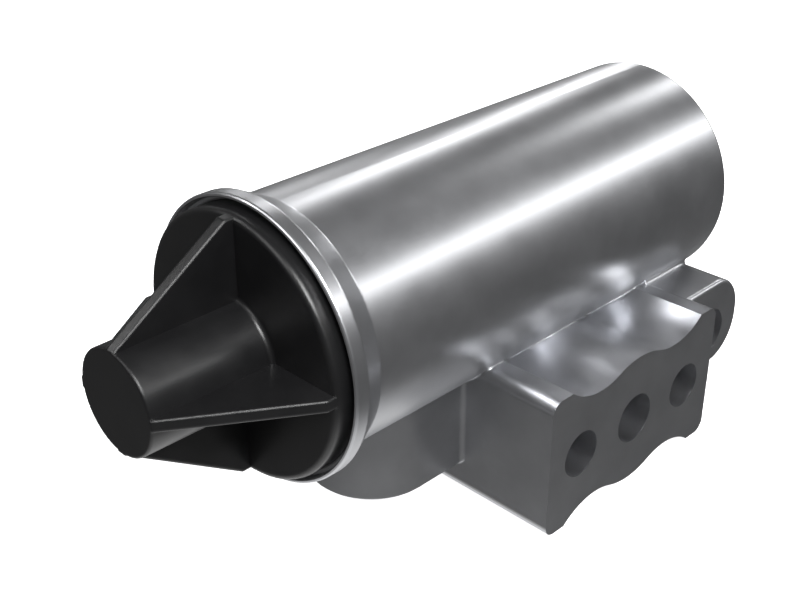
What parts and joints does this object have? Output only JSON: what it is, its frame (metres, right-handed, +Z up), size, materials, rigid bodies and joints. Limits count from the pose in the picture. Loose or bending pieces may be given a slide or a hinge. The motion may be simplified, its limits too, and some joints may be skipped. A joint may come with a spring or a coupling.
{
  "type": "air compressor governor",
  "caption": "Air compressor governor: die-cast cylindrical body with a ribbed black plug-in cover, a waisted port block below with threaded ports, a foot and a mounting ear.",
  "frame": {"origin": "middle of the part's footprint, on the plane through the lowest edges of the port block, on which it stands", "axes": "+X along the cylinder from the ribbed cover towards the closed end, +Y out of the mounting face, away from the face with the exhaust port, +Z up, away from the base ports"},
  "size_m": [0.1288, 0.065, 0.0671],
  "materials": {
    "cast_aluminium": "die-cast, vibration-polished satin",
    "black_plastic": "moulded, fine matte",
    "spring_steel": "drawn and oiled",
    "plated_steel": "zinc plated",
    "brass": "turned",
    "turned_aluminium": "turned",
    "rubber": "moulded",
    "sintered_bronze": "sintered"
  },
  "bodies": {
    "housing": {"body": "cast_aluminium", "retaining_ring": "spring_steel", "spring_plate": "plated_steel", "exhaust_stem": "brass", "unloader_filter": "sintered_bronze", "reservoir_filter": "sintered_bronze"},
    "cover": {"cover": "black_plastic"},
    "adjuster": {"adjusting_screw": "plated_steel"},
    "lock_nut": {"lock_nut": "plated_steel"},
    "upper_seat": {"upper_spring_seat": "brass"},
    "piston": {"piston": "turned_aluminium", "piston_o_ring_upper": "rubber", "piston_o_ring_lower": "rubber", "stem_o_ring": "rubber", "lower_spring_seat": "brass", "pressure_spring": "spring_steel", "stem_spring": "spring_steel", "valve_spring": "spring_steel", "valve_retainer": "plated_steel"},
    "valve": {"valve_body": "brass", "valve_face": "rubber"}
  },
  "joints": [
    {"name": "cover_pull", "type": "slide", "parent": "housing", "child": "cover", "axis": [-1, 0, 0], "range_m": [0, 0.04]},
    {"name": "screw_turn", "type": "hinge", "parent": "housing", "child": "adjuster", "pos_m": [-0.0366, 0, 0.04245], "axis": [1, 0, 0], "range_deg": [-720, 720]},
    {"name": "lock_nut_turn", "type": "hinge", "parent": "housing", "child": "lock_nut", "pos_m": [-0.0366, 0, 0.04245], "axis": [1, 0, 0], "range_deg": [-360, 360]},
    {"name": "seat_travel", "type": "slide", "parent": "housing", "child": "upper_seat", "axis": [1, 0, 0], "range_m": [-0.0025, 0.0025], "deforming": ["pressure_spring"]},
    {"name": "piston_lift", "type": "slide", "parent": "housing", "child": "piston", "axis": [-1, 0, 0], "range_m": [0, 0.0015], "deforming": ["pressure_spring", "stem_spring"]},
    {"name": "valve_lift", "type": "slide", "parent": "piston", "child": "valve", "axis": [1, 0, 0], "range_m": [0, 0.001], "deforming": ["valve_spring"]}
  ],
  "couplings": [
    {"joint": "screw_turn", "follows": "seat_travel", "rad_per_m": -5026.5},
    {"joint": "valve_lift", "follows": "piston_lift", "ratio": 0.6666}
  ]
}
